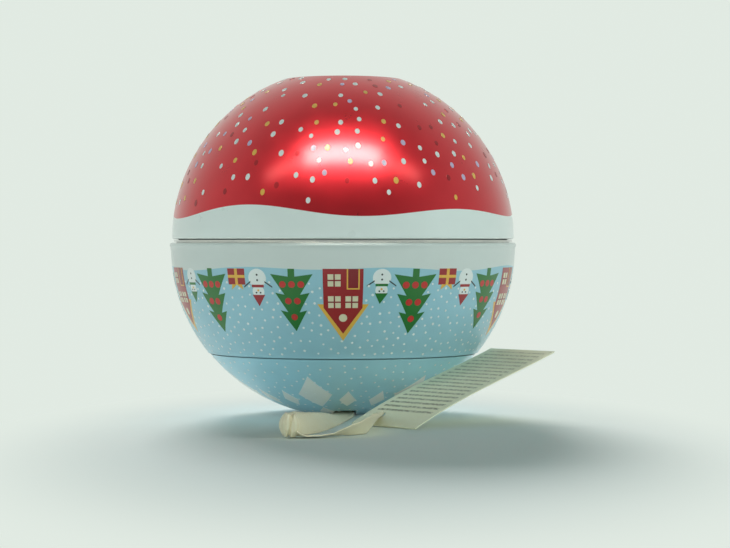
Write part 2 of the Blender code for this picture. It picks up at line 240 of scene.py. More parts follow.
# Enamels: their colours, the roughness between which each one drifts, and their drift lines
RED = (0.56, 0.012, 0.023)
RED_TONES = ((0.52, 0.010, 0.020), (0.61, 0.014, 0.026))
RED_METAL = 0.85
RED_GLOSS = (0.25, 0.33)
RED_FINISH = {"roughness": 0.3, "coat": 0.55, "coat_roughness": 0.2}
MARGIN_LINE = (EQUATOR_SEAM + 8.5 * MM, -1.3 * MM, 5.0, -0.6 * MM, 3.0, -0.05)
MARGIN_TONES = ((0.87, 0.91, 0.88), (0.91, 0.95, 0.92))
FRIEZE_LINE = (BALL_CENTRE - 6.3 * MM, 0.45 * MM, 7.0, 0.25 * MM, 4.0, 0.6)
# The band's snow white is darker than the margin's and drifts only darker: painted shade, as the band
# faces a little downwards
SNOW_WITH_PAINTED_SHADE = (0.80, 0.84, 0.81)
SNOW_PAINTED_SHADE_TONES = (0.90, 0.96)
SKY = (0.36, 0.63, 0.74)
SKY_SHADES = (0.95, 1.05)
# The cap's sky is the band's sky made lighter: painted light for the floor's bounce under the ball
CAP_SKY_PAINTED_BOUNCE = 1.16
FLAKE_WHITE = (0.93, 0.93, 0.89)
PRINT_SHADES = (0.93, 1.06)
PRINT_GLOSS = (0.33, 0.42)
PRINT_FINISH = {"roughness": 0.35, "coat": 0.4, "coat_roughness": 0.15}
INK_COLOURS = {
    "snow": (0.90, 0.92, 0.90),
    "lilac": (0.64, 0.50, 0.72),
    "bauble": (0.62, 0.02, 0.012),
    "gold": (0.90, 0.50, 0.07),
    "dark_red": (0.26, 0.008, 0.014),
    "deep_red": (0.30, 0.008, 0.014),
    "green": (0.006, 0.17, 0.016),
    "scarlet": (0.38, 0.010, 0.014),
    "cream": (0.80, 0.72, 0.50),
    "charcoal": (0.02, 0.022, 0.024),
}
INK_METAL = {"deep_red": 0.8}

# Tinplate, satin and card
TIN = (0.62, 0.62, 0.60)
TIN_TONES = ((0.56, 0.57, 0.56), (0.66, 0.66, 0.63))
TIN_GLOSS = (0.22, 0.44)
TIN_GRAIN = (1400.0, 40.0, 40.0)
SATIN = (0.88, 0.80, 0.62)
SATIN_TONES = ((1.0, 0.93, 0.74), (0.95, 0.82, 0.56))
# The satin's colour in the grooves between its ribs is painted shade
SATIN_GROOVE_PAINTED_SHADE = (0.92, 0.79, 0.55)
CARD = (0.86, 0.83, 0.62)
CARD_TONES = ((0.96, 0.93, 0.74), (0.90, 0.85, 0.62))
RULE_BROWN = (0.24, 0.21, 0.13)

# Setting: the floor and backdrop, the surround and the lamps
BACKGROUND = (0.755, 0.825, 0.765)
FLOOR_COLOUR = (0.88, 0.93, 0.91)
FLOOR_SIZE = 6.0
FLOOR_MIDDLE = (0.015, -0.10, 0.0)
FLOOR_STRETCH = (2.1, 1.0, 1.0)
FLOOR_FADE = (0.08, 0.22)
WORLD_COLOUR = (0.72, 0.95, 0.90)
WORLD_LIGHT = (0.08, 0.15)
SHADED_SIDE = (0.0, -0.65, 0.76)
SHADED_SHARE = 0.78
PLAIN = (1.0, 1.0, 1.0)
WARM = (1.0, 0.99, 0.86)
COOL = (0.84, 1.0, 0.97)
# Each lamp's name, place, size, power and tint, and whether it shows in the gloss or only lights the tin
LAMPS = (
    ("highlight strip", (0.0, -0.62, 1.06), (0.90, 0.26), 19.0, WARM, True),
    ("wide strip", (0.0, -0.66, 1.03), (2.4, 0.20), 5.5, WARM, True),
    ("back softbox", (-0.36, 2.02, 1.24), (0.70, 0.50), 43.0, PLAIN, False),
    ("front fill", (0.0, -1.50, 0.58), (1.2, 0.7), 2.9, COOL, False),
    ("low fill", (0.0, -1.70, 0.22), (1.6, 0.4), 3.6, COOL, False),
    ("left fill", (-1.55, -0.55, 0.42), (0.5, 0.6), 3.6, COOL, False),
    ("right fill", (1.55, -0.60, 0.50), (0.5, 0.6), 7.0, COOL, False),
)


def new_object(name, form):
    """An object for the bmesh, shaded smooth between its sharp edges."""
    mesh = bpy.data.meshes.new(name)
    form.to_mesh(mesh)
    form.free()
    mesh.shade_smooth()
    mesh.set_sharp_from_angle(angle=SHARP_ANGLE)
    made = bpy.data.objects.new(name, mesh)
    bpy.context.scene.collection.objects.link(made)
    return made


def finish_piece(made, materials, body):
    """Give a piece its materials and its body."""
    for material in materials:
        made.data.materials.append(material)
    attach(made, body)


def sphere_radius_at(height, radius, centre):
    """The distance from the axis at which a sphere of this radius has this height."""
    return sqrt(radius**2 - (height - centre) ** 2)


def sphere_arc(radius, centre, top, bottom):
    """Points of a sphere's outline from one height down to another."""
    start = asin((top - centre) / radius)
    end = asin((bottom - centre) / radius)
    count = max(2, round(abs(start - end) / ARC_STEP))
    angles = [start + (end - start) * step / count for step in range(count + 1)]
    return [(radius * cos(a), centre + radius * sin(a)) for a in angles]


def round_arc(centre, radius, start, end, count):
    """Points of a small arc in the section, with its angles in degrees."""
    angles = [radians(start + (end - start) * step / count) for step in range(count + 1)]
    return [(centre[0] + radius * cos(a), centre[1] + radius * sin(a)) for a in angles]


def flat_end_arc(radius, centre, level, corner, steps, side):
    """The rounding between a sphere and the flat that cuts it, and the height where it starts."""
    depth = abs(level - centre) - corner
    reach = sqrt((radius - corner) ** 2 - depth**2)
    middle = (reach, centre + side * depth)
    start = degrees(acos(reach / (radius - corner)))
    arc = round_arc(middle, corner, side * start, side * 90, steps)
    return arc, middle[1] + side * corner * sin(radians(start))


def turned(name, section):
    """A closed shell spun about Z from a section that runs down its outer side."""
    form = bmesh.new()
    verts = [form.verts.new((0.0 if r < ON_AXIS else r, 0.0, z)) for r, z in section]
    on_axis = section[0][0] == 0.0 and section[-1][0] == 0.0
    follow = verts[1:] if on_axis else verts[1:] + verts[:1]
    edges = [form.edges.new(pair) for pair in zip(verts, follow)]
    bmesh.ops.spin(
        form,
        geom=verts + edges,
        cent=(0.0, 0.0, 0.0),
        axis=(0.0, 0.0, 1.0),
        angle=2 * pi,
        steps=TURN_STEPS,
        use_merge=True,
    )
    bmesh.ops.remove_doubles(form, verts=form.verts, dist=MERGE_DISTANCE)
    bmesh.ops.recalc_face_normals(form, faces=form.faces)
    return new_object(name, form)


def line_inside(made, centre_height):
    """Give the second material to the faces that look at the inside of the ball."""
    middle = Vector((0.0, 0.0, centre_height))
    for face in made.data.polygons:
        if face.normal.dot(face.center - middle) < 0:
            face.material_index = 1


def base_section():
    """The base bowl: flat base, dome, shoulder and neck, then back up its inner side."""
    inside, flange_top = floor_fit()
    neck_outside = inside - SLIP_CLEARANCE
    neck_inside = neck_outside - WALL
    shoulder = flange_top + SEAT_GAP
    hem = (neck_outside - HEM_RADIUS, flange_top - BASE_NECK_DEPTH + HEM_RADIUS)
    corner, corner_start = flat_end_arc(DOME_RADIUS, DOME_CENTRE, BASE_HEIGHT, BASE_CORNER, 10, 1)
    inner_corner, inner_start = flat_end_arc(
        DOME_RADIUS - WALL, DOME_CENTRE, BASE_HEIGHT - WALL, BASE_CORNER - WALL, 6, 1
    )
    rim_bend = (DOME_RADIUS - SHOULDER_DROP, shoulder + SHOULDER_DROP)
    section = [(0.0, BASE_HEIGHT)]
    section += corner[::-1]
    section += sphere_arc(DOME_RADIUS, DOME_CENTRE, corner_start, rim_bend[1])[1:]
    section += round_arc(rim_bend, SHOULDER_DROP, 0, -90, 5)[1:]
    section += [(neck_outside + WALL, shoulder), (neck_outside, shoulder - WALL)]
    section += round_arc(hem, HEM_RADIUS, 0, -180, 10)
    section += [(neck_inside, hem[1] + HEM_RADIUS), (neck_inside, shoulder + WALL)]
    inner_wall = sphere_arc(DOME_RADIUS - WALL, DOME_CENTRE, inner_start, rim_bend[1] + WALL)
    section += inner_wall[::-1]
    section += inner_corner[1:]
    return section + [(0.0, BASE_HEIGHT - WALL)]


def floor_fit():
    """The radius inside the floor pan's skirt, and the top of its flange."""
    inside = BALL_RADIUS + BEAD_PROUD - 2 * BEAD_RADIUS - SLIP_CLEARANCE - WALL
    return inside, EQUATOR_SEAM + SEAT_GAP + WALL


def band_section():
    """The middle tier's wall: bead, ball and neck, then back up its inner side."""
    bead = (BALL_RADIUS + BEAD_PROUD - BEAD_RADIUS, EQUATOR_SEAM - BEAD_RADIUS)
    wall_top = bead[1] - BEAD_RADIUS
    neck_radius = CAP_RADIUS - WALL - SLIP_CLEARANCE
    edge = CAP_SEAM + SEAT_GAP
    bend_height = edge + EDGE_BEND
    lower_edge = (sphere_radius_at(bend_height, BALL_RADIUS, BALL_CENTRE) - EDGE_BEND, bend_height)
    neck_end = CAP_SEAM - CAP_NECK_DEPTH
    hem = (sphere_radius_at(neck_end, neck_radius, BALL_CENTRE) - WALL, neck_end)
    section = round_arc(bead, BEAD_RADIUS, 90, -38, 14)
    section += sphere_arc(BALL_RADIUS, BALL_CENTRE, wall_top - BEAD_FLARE, bend_height)
    section += round_arc(lower_edge, EDGE_BEND, -10, -90, 4)
    section += sphere_arc(neck_radius, BALL_CENTRE, edge, neck_end)
    section += round_arc(hem, HEM_RADIUS, -30, -180, 8)
    inner_neck = sphere_arc(neck_radius - WALL, BALL_CENTRE, edge + WALL, neck_end + HEM_RADIUS)
    section += inner_neck[::-1]
    inner_wall = sphere_arc(BALL_RADIUS - WALL, BALL_CENTRE, wall_top, edge + WALL)
    section += inner_wall[::-1]
    return section + round_arc(bead, BEAD_RADIUS, 215, 125, 8)


def pan_section():
    """The middle tier's countersunk floor: panel, skirt and the flange that seats it."""
    inside, flange_top = floor_fit()
    panel = flange_top - FLOOR_DEPTH
    flange_edge = BALL_RADIUS + BEAD_PROUD - BEAD_RADIUS - FLANGE_INSET
    outside = inside + WALL
    bend = (outside - FLOOR_CORNER, panel - WALL + FLOOR_CORNER)
    section = [(0.0, panel), (bend[0], panel)]
    section += round_arc(bend, FLOOR_CORNER - WALL, -75, 0, 6)
    section += [(inside, flange_top), (flange_edge, flange_top)]
    section += [(flange_edge, flange_top - WALL), (outside, flange_top - WALL)]
    section += round_arc(bend, FLOOR_CORNER, 0, -90, 8)
    return section + [(0.0, panel - WALL)]


def cap_outline(radius, level, corner, top):
    """The outline of the cap's outside, or of its hollow, from the axis and back to it."""
    end, end_start = flat_end_arc(radius, BALL_CENTRE, level, corner, 8, -1)
    section = [(0.0, top)]
    section += sphere_arc(radius, BALL_CENTRE, top, end_start)
    section += end[1:]
    return section + [(0.0, level)]


def trough_outline(grown):
    """The trough's outline in Y and Z, with the strap left standing, or grown by the wall."""
    half = sphere_radius_at(TROUGH_DEPTH + 2 * WALL, CAP_RADIUS, BALL_CENTRE)
    below = -2 * TROUGH_DEPTH
    strap = STRAP_WIDTH / 2
    if grown:
        top = TROUGH_DEPTH + WALL
        return [(-half, below), (half, below), (half, top), (-half, top)]
    front = [(-half, below), (-strap, below), (-strap, STRAP_THICKNESS)]
    back = [(strap, STRAP_THICKNESS), (strap, below), (half, below)]
    return front + back + [(half, TROUGH_DEPTH), (-half, TROUGH_DEPTH)]


def prism(name, outline, depth):
    """A solid with this outline in Y and Z, centred on X."""
    form = bmesh.new()
    verts = [form.verts.new((-depth / 2, y, z)) for y, z in outline]
    face = form.faces.new(verts)
    pushed = bmesh.ops.extrude_face_region(form, geom=[face])
    moved = [item for item in pushed["geom"] if isinstance(item, bmesh.types.BMVert)]
    bmesh.ops.translate(form, vec=(depth, 0.0, 0.0), verts=moved)
    bmesh.ops.recalc_face_normals(form, faces=form.faces)
    return new_object(name, form)


def cut_away(made, cutter):
    """Take one solid away from another for good, and drop the cutter."""
    boolean = made.modifiers.new("Cut", "BOOLEAN")
    boolean.operation = "DIFFERENCE"
    boolean.solver = "EXACT"
    boolean.object = cutter
    graph = bpy.context.evaluated_depsgraph_get()
    mesh = bpy.data.meshes.new_from_object(made.evaluated_get(graph))
    made.modifiers.clear()
    made.data = mesh
    bpy.data.objects.remove(cutter, do_unlink=True)


def make_cap():
    """The cap's shell with the trough and the strap at its pole."""
    made = turned("cap_shell", cap_outline(CAP_RADIUS, 0.0, LANDING_CORNER, CAP_SEAM))
    inner = cap_outline(CAP_RADIUS - WALL, WALL, LANDING_CORNER - WALL, CAP_SEAM + WALL)
    hollow = turned("cap_hollow", inner)
    cut_away(hollow, prism("trough_pan", trough_outline(True), TROUGH_WIDTH + 2 * WALL))
    cut_away(made, hollow)
    cut_away(made, prism("trough", trough_outline(False), TROUGH_WIDTH))
    made.data.shade_smooth()
    made.data.set_sharp_from_angle(angle=SHARP_ANGLE)
    return made


def surface_point(surface, angle, latitude, lift=0.0):
    """A point on a printed surface, or over it."""
    radius, centre = surface
    reach = (radius + lift) * cos(latitude)
    height = centre + (radius + lift) * sin(latitude)
    return Vector((reach * sin(angle), -reach * cos(angle), height))


def add_outline(form, points):
    """A flat face in the print's own plane, in millimetres."""
    return form.faces.new([form.verts.new((x, y, 0.0)) for x, y in points])


def cut_into_cells(form):
    """Cut a flat print into cells small enough to lie along the ball."""
    form.normal_update()
    bmesh.ops.triangulate(form, faces=form.faces)
    for axis in (Vector((1.0, 0.0, 0.0)), Vector((0.0, 1.0, 0.0))):
        places = [vert.co.dot(axis) for vert in form.verts]
        first = int(min(places) // PRINT_CELL)
        last = int(max(places) // PRINT_CELL)
        for step in range(first, last + 1):
            geometry = form.verts[:] + form.edges[:] + form.faces[:]
            place = axis * step * PRINT_CELL
            bmesh.ops.bisect_plane(form, geom=geometry, plane_co=place, plane_no=axis)


def wrap_print(form, surface, layer, latitude):
    """Lay a flat print on the ball, upside down, with its foot line at this latitude."""
    cut_into_cells(form)
    radius = surface[0]
    across = radius * cos(FRIEZE_MIDDLE)
    lift = PRINT_LIFT + layer * PRINT_LAYER
    for vert in form.verts:
        x, y = vert.co.x * MM, vert.co.y * MM
        vert.co = surface_point(surface, -x / across, latitude - y / radius, lift)


def give_thickness(form, surface):
    """Turn a print's faces outwards and give the ink its thickness."""
    middle = Vector((0.0, 0.0, surface[1]))
    form.normal_update()
    for face in form.faces:
        if face.normal.dot(face.calc_center_median() - middle) < 0:
            face.normal_flip()
    bmesh.ops.solidify(form, geom=form.faces[:], thickness=PRINT_THICKNESS)
    form.normal_update()


def disc_outline(x, y, radius, count):
    """A round of a few sides."""
    turns = [2 * pi * step / count for step in range(count)]
    return [(x + radius * cos(turn), y + radius * sin(turn)) for turn in turns]


def box_outline(left, bottom, width, height):
    """An upright rectangle."""
    right, top = left + width, bottom + height
    return [(left, bottom), (right, bottom), (right, top), (left, top)]


def fir_tree():
    """A fir of three stacked boughs with pointed ends on a short trunk, with round baubles."""
    trunk = [(0.05, 0.0), (0.05, 0.12)]
    boughs = [(0.32, 0.08), (0.12, 0.40), (0.265, 0.37), (0.09, 0.68), (0.21, 0.65)]
    right = trunk + boughs
    shapes = [("green", 0, right + [(0.0, 1.0)] + [(-x, y) for x, y in right[::-1]])]
    for x, y in ((-0.14, 0.24), (0.0, 0.24), (0.14, 0.24), (-0.07, 0.50), (0.07, 0.50), (0.0, 0.76)):
        shapes.append(("bauble", 1, disc_outline(x, y, 0.052, 16)))
    return shapes


def gabled_house():
    """A tall gabled house with a trimmed roof, four-paned windows, a round one and a door."""
    shapes = [
        ("gold", 0, [(-0.33, 0.47), (0.0, 1.0), (0.33, 0.47)]),
        ("scarlet", 1, [(-0.25, 0.0), (0.25, 0.0), (0.25, 0.52), (0.0, 0.89), (-0.25, 0.52)]),
        ("gold", 2, box_outline(-0.205, 0.0, 0.16, 0.27)),
        ("dark_red", 3, box_outline(-0.188, 0.0, 0.126, 0.253)),
        ("cream", 2, disc_outline(0.0, 0.66, 0.055, 16)),
    ]
    pane, bar, middle = 0.16, 0.018, 0.071
    for left, bottom in ((0.03, 0.07), (-0.19, 0.36), (0.03, 0.36)):
        shapes.append(("cream", 2, box_outline(left, bottom, pane, pane)))
        shapes.append(("dark_red", 3, box_outline(left + middle, bottom, bar, pane)))
        shapes.append(("dark_red", 4, box_outline(left, bottom + middle, pane, bar)))
    return shapes


def snow_figure(cap_colour):
    """A plain snowman: two rounds with buttons, a pointed cap, a scarf, twig arms and a face."""
    shapes = [
        ("snow", 0, disc_outline(0.0, 0.25, 0.25, 22)),
        ("snow", 0, disc_outline(0.0, 0.6, 0.17, 20)),
        (cap_colour, 1, [(-0.18, 0.69), (0.18, 0.69), (0.03, 1.0)]),
        (cap_colour, 1, box_outline(-0.17, 0.42, 0.34, 0.07)),
        ("gold", 2, disc_outline(0.0, 0.57, 0.03, 8)),
        ("charcoal", 1, disc_outline(0.0, 0.16, 0.028, 8)),
        ("charcoal", 1, disc_outline(0.0, 0.3, 0.028, 8)),
    ]
    for side in (-1, 1):
        arm = [(side * 0.2, 0.32), (side * 0.4, 0.46), (side * 0.4, 0.5), (side * 0.2, 0.36)]
        shapes.append(("charcoal", 1, arm))
        shapes.append(("charcoal", 2, disc_outline(side * 0.06, 0.63, 0.024, 8)))
    return shapes


def wrapped_parcel():
    """A parcel with a crossed ribbon and a bow."""
    return [
        ("scarlet", 0, box_outline(-0.5, 0.0, 1.0, 0.8)),
        ("gold", 1, box_outline(-0.08, 0.0, 0.16, 0.8)),
        ("gold", 1, box_outline(-0.5, 0.32, 1.0, 0.14)),
        ("gold", 1, [(0.0, 0.8), (-0.34, 1.05), (-0.3, 0.78)]),
        ("gold", 1, [(0.0, 0.8), (0.3, 0.78), (0.34, 1.05)]),
    ]


def frieze_shapes():
    """Every shape of the village frieze, in millimetres: its ink, its layer and its outline."""
    shapes = []
    for index in range(FRIEZE_GROUPS):
        # Each motif, its place along the group and its size
        motifs = (
            (gabled_house(), 0.0, 21.0 - (index % 2) * 1.5),
            (fir_tree(), 13.6, 18.0),
            (snow_figure("scarlet"), 23.3, 10.6),
            (wrapped_parcel(), 29.9, 5.6),
            (fir_tree(), 39.6, 18.8),
            (snow_figure("green"), 48.9, 9.8),
        )
        for motif, along, size in motifs:
            middle = index * FRIEZE_LENGTH / FRIEZE_GROUPS + along
            for ink, layer, outline in motif:
                shapes.append((ink, layer, [(middle + x * size, y * size) for x, y in outline]))
    return shapes


def make_frieze(inks):
    """The village frieze on the middle tier, one piece for each ink."""
    shapes = frieze_shapes()
    for ink in sorted({shape[0] for shape in shapes}):
        whole = bmesh.new()
        for layer in sorted({shape[1] for shape in shapes if shape[0] == ink}):
            form = bmesh.new()
            for name, level, outline in shapes:
                if name == ink and level == layer:
                    add_outline(form, outline)
            wrap_print(form, BAND, layer, FRIEZE_FOOT)
            give_thickness(form, BAND)
            part = bpy.data.meshes.new("layer")
            form.to_mesh(part)
            form.free()
            whole.from_mesh(part)
            bpy.data.meshes.remove(part)
        made = new_object("frieze_" + ink, whole)
        finish_piece(made, [inks[ink]], "middle_tier")


def scatter(rng, count, surface, lowest, highest, spacing, allowed):
    """Seeded places on a surface, no two closer than the spacing."""
    places = []
    tries = 0
    while len(places) < count and tries < SCATTER_TRIES:
        tries += 1
        angle = rng.uniform(-pi, pi)
        latitude = asin(rng.uniform(sin(lowest), sin(highest)))
        if not allowed(angle, latitude):
            continue
        here = surface_point(surface, angle, latitude)
        if all((here - other[2]).length > spacing for other in places):
            places.append((angle, latitude, here))
    return [(angle, latitude) for angle, latitude, _ in places]


def dot_piece(name, places, surface, radius, stretch, rng, material, body):
    """Small printed dots at these places, a little uneven in size and stretched up the ball."""
    form = bmesh.new()
    for angle, latitude in places:
        size = radius * rng.uniform(*DOT_SIZES)
        normal = surface_point(surface, angle, latitude) - Vector((0.0, 0.0, surface[1]))
        turn = normal.to_track_quat("Z", "Y").to_matrix().to_4x4()
        place = Matrix.Translation(surface_point(surface, angle, latitude, PRINT_LIFT))
        bmesh.ops.create_cone(
            form,
            cap_ends=True,
            segments=DOT_SIDES,
            radius1=size,
            radius2=size * DOT_TAPER,
            depth=PRINT_THICKNESS,
            matrix=place @ turn @ Matrix.Diagonal((1.0, stretch, 1.0, 1.0)),
        )
    finish_piece(new_object(name, form), [material], body)


def make_confetti(inks):
    """The dots on the base bowl, thinning out towards the snow margin."""
    rng = random.Random(CONFETTI_SEED)

    def allowed(angle, latitude):
        return rng.random() < min(1.0, CONFETTI_THINNEST + (latitude - CONFETTI_LOWEST) / CONFETTI_FILLING)

    lowest, highest, spacing = CONFETTI_LOWEST, CONFETTI_HIGHEST, CONFETTI_SPACING
    places = scatter(rng, CONFETTI_COUNT, DOME, lowest, highest, spacing, allowed)
    size, stretch = CONFETTI_RADIUS, CONFETTI_STRETCH
    start = 0
    for ink, share in CONFETTI_SHARES:
        end = start + round(share * len(places))
        chosen = places[start:end]
        dot_piece("dots_" + ink, chosen, DOME, size, stretch, rng, inks[ink], "base")
        start = end


def encloses(outline, x, y):
    """Whether a point lies inside an outline."""
    within = False
    for (x1, y1), (x2, y2) in zip(outline, outline[1:] + outline[:1]):
        if (y1 > y) != (y2 > y) and x < (x2 - x1) * (y - y1) / (y2 - y1) + x1:
            within = not within
    return within


def clear_of_frieze(shapes):
    """A test for places on the middle tier that keep clear of the frieze."""
    outlines = [outline for _, layer, outline in shapes if layer < 2]
    boxes = []
    for outline in outlines:
        across = [x for x, _ in outline]
        top = max(y for _, y in outline) + PRINT_CLEARANCE
        boxes.append((min(across) - PRINT_CLEARANCE, max(across) + PRINT_CLEARANCE, top))

    def allowed(angle, latitude):
        along = -angle * BALL_RADIUS * cos(FRIEZE_MIDDLE) / MM
        x = (along - FRIEZE_START) % FRIEZE_LENGTH + FRIEZE_START
        y = (FRIEZE_FOOT - latitude) * BALL_RADIUS / MM
        for outline, (left, right, top) in zip(outlines, boxes):
            if not (left < x < right and y < top):
                continue
            for side_x, side_y in ((0, 0), (-1, 0), (1, 0), (0, -1), (0, 1)):
                if encloses(outline, x + side_x * DOT_CLEARANCE, y + side_y * DOT_CLEARANCE):
                    return False
        return True

    return allowed


def anywhere(angle, latitude):
    """A test that lets every place pass."""
    return True


def snow_dots(name, snow, surface, allowed, rng, ink, body):
    """Fine round snow dots, scattered over a printed surface."""
    count, lowest, highest, spacing, radius = snow
    places = scatter(rng, count, surface, lowest, highest, spacing, allowed)
    dot_piece(name, places, surface, radius, 1.0, rng, ink, body)


def make_snowfall(ink):
    """The fine snow dots on the middle tier's sky and on the cap."""
    rng = random.Random(SNOWFALL_SEED)
    clear = clear_of_frieze(frieze_shapes())
    snow_dots("snow_dots_band", BAND_SNOW, BAND, clear, rng, ink, "middle_tier")
    snow_dots("snow_dots_cap", CAP_SNOW, CAP, anywhere, rng, ink, "cap")


def lozenge(distance, heading, length, width):
    """A lozenge of a snowflake's arm, pointing away from the pole."""
    half = length / 2
    points = [(-half, 0.0), (-0.1 * half, -width / 2), (half, 0.0), (-0.1 * half, width / 2)]
    made = []
    for x, y in points:
        along = distance + half + x
        made.append((along * cos(heading) - y * sin(heading), along * sin(heading) + y * cos(heading)))
    return made


def make_snowflake(ink):
    """The large pale snowflake round the cap's pole."""
    form = bmesh.new()
    for arm in range(FLAKE_ARMS):
        heading = 360 / FLAKE_ARMS * arm + FLAKE_TURN
        for distance, turn, length, width in FLAKE_LOZENGES:
            add_outline(form, lozenge(distance, radians(heading + turn), length, width))
    cut_into_cells(form)
    for vert in form.verts:
        away = vert.co.length * MM
        angle = atan2(vert.co.x, -vert.co.y)
        vert.co = surface_point(CAP, angle, -pi / 2 + away / CAP_RADIUS, PRINT_LIFT)
    give_thickness(form, CAP)
    finish_piece(new_object("snowflake", form), [ink], "cap")


def blend_points(rows, share):
    """A smooth value between the two middle rows of four."""
    made = []
    for p, q, r, s in zip(*rows):
        curve = 2 * q + (r - p) * share + (2 * p - 5 * q + 4 * r - s) * share**2
        made.append((curve + (3 * q - p - 3 * r + s) * share**3) / 2)
    return made


def smooth_route(rows, spacing):
    """The route's rows read closely from a smooth curve through them."""
    padded = [rows[0], *rows, rows[-1]]
    made = []
    for index in range(len(rows) - 1):
        four = padded[index : index + 4]
        span = hypot(four[2][0] - four[1][0], four[2][1] - four[1][1]) * MM
        count = max(1, round(span / spacing))
        made += [blend_points(four, step / count) for step in range(count)]
    return made + [list(rows[-1])]


def strand_places(rows):
    """Each place along a strand: its centre, its turn onto edge and the share of its width."""
    places = []
    for x, y, turn, lift, spread in smooth_route(rows, RIBBON_STEP):
        half = RIBBON_WIDTH / 2 * spread
        stand = half * abs(sin(radians(turn))) + RIBBON_THICKNESS / 2 * abs(cos(radians(turn)))
        centre = Vector((x * MM, y * MM, RIBBON_CLEAR + stand + lift * MM))
        places.append((centre, radians(turn), spread))
    return places


def strand_rows():
    """The loop's two strands, each from under the strap to the knot: the one that leaves at the
    front, and the one that leaves at the back and comes up through the tag's hole."""
    rows = [FRONT_END, *ROUTE, BACK_END]
    strap = rows.index(STRAP_ROW)
    rows = [row + PLAIN_ROW[len(row) :] for row in rows]
    turned_over = [(x, y, -turn, lift, spread) for x, y, turn, lift, spread in rows[strap::-1]]
    return turned_over, rows[strap:]


def make_strand(name, rows, material):
    """One strand of the satin ribbon, with a slight ripple; its place along and across is its UV."""
    places = strand_places(rows)
    centres = [centre for centre, _, _ in places]
    form = bmesh.new()
    layer = form.loops.layers.uv.new("ribbon")
    spots, last_ring, run = {}, [], 0.0
    for index, (centre, turn, spread) in enumerate(places):
        before = centres[max(0, index - 1)]
        after = centres[min(len(places) - 1, index + 1)]
        along = (after - before).normalized()
        side = along.cross(Vector((0.0, 0.0, 1.0))).normalized()
        across = side * cos(turn) + side.cross(along) * sin(turn)
        face = along.cross(across)
        run += (centre - before).length
        ring = []
        for step in range(RIBBON_ACROSS + 1):
            share = step / RIBBON_ACROSS * 2 - 1
            edge_ripple = EDGE_RIPPLE[0] * sin(run / MM * EDGE_RIPPLE[1]) * share
            ripple = edge_ripple + FACE_RIPPLE[0] * sin(run / MM * FACE_RIPPLE[1] + 1)
            place = centre + across * (share * RIBBON_WIDTH / 2 * spread * RIBBON_TRIM)
            vert = form.verts.new(place + face * ripple)
            spots[vert] = (run / RIBBON_WIDTH, step / RIBBON_ACROSS)
            ring.append(vert)
        for pair in (*zip(last_ring, ring), *zip(ring, ring[1:])):
            form.edges.new(pair)
        last_ring = ring
    bmesh.ops.holes_fill(form, edges=form.edges, sides=4)
    for face in form.faces:
        for loop in face.loops:
            loop[layer].uv = spots[loop.vert]
    form.normal_update()
    made = new_object(name, form)
    thick = made.modifiers.new("Weave thickness", "SOLIDIFY")
    thick.thickness = RIBBON_THICKNESS * RIBBON_WEAVE
    thick.offset = 0.0
    finish_piece(made, [material], "cap")
    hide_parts("hanging_ribbon")
    return made, centres, run


def make_knot(material):
    """The knot: two turns of ribbon drawn tight round the loop's ends, with the crease between."""
    form = bmesh.new()
    form.loops.layers.uv.new("ribbon")
    around, along = KNOT_SIDES
    bmesh.ops.create_uvsphere(form, u_segments=around, v_segments=along, radius=0.5, calc_uvs=True)
    for vert in form.verts:
        x, y, z = vert.co
        angle = atan2(y, z)
        crease = CREASE_DEPTH * exp(-(((x - CREASE_PLACE - CREASE_SLANT * z) / CREASE_WIDTH) ** 2))
        fold = sum(height * sin(turns * angle + slant * x) for height, turns, slant in KNOT_FOLDS)
        full = 1.0 + KNOT_FULLNESS * (1 - (2 * x) ** 2) - crease + fold
        vert.co.y = max(-0.5, min(0.5, y * full))
        vert.co.z = max(-0.5, min(0.5, z * full))
    bmesh.ops.scale(form, vec=KNOT_SIZE * KNOT_DRAWN, verts=form.verts)
    bmesh.ops.translate(form, vec=KNOT_CENTRE, verts=form.verts)
    made = new_object("knot", form)
    finish_piece(made, [material], "cap")
    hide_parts("ribbon_knot")
    return made


def tag_frame():
    """The tag's outer near corner, and its directions: along, across and out of its face."""
    plan = sqrt(TAG_LENGTH**2 - TAG_RISE**2)
    heading = Vector((cos(TAG_HEADING), sin(TAG_HEADING), 0.0))
    across = Vector((-sin(TAG_HEADING), cos(TAG_HEADING), 0.0))
    along = (heading * plan + Vector((0.0, 0.0, TAG_RISE))).normalized()
    below = (BALL_CENTRE - TAG_THICKNESS) * plan + TAG_START * TAG_RISE
    beside = sqrt((CAP_RADIUS + TAG_LEAN_GAP) ** 2 - (below / TAG_LENGTH) ** 2)
    corner = heading * TAG_START - across * (beside + TAG_WIDTH)
    return corner, along, across, along.cross(across)


def tag_point(length_share, width_share, lift=0.0):
    """A point of the tag's middle surface, or over it."""
    corner, along, across, out = tag_frame()
    bow = TAG_BOW * 4 * length_share * (1 - length_share) ** 2
    start = corner + Vector((0.0, 0.0, TAG_THICKNESS))
    flat = start + along * TAG_LENGTH * length_share + across * TAG_WIDTH * width_share
    return flat + out * (bow + lift)


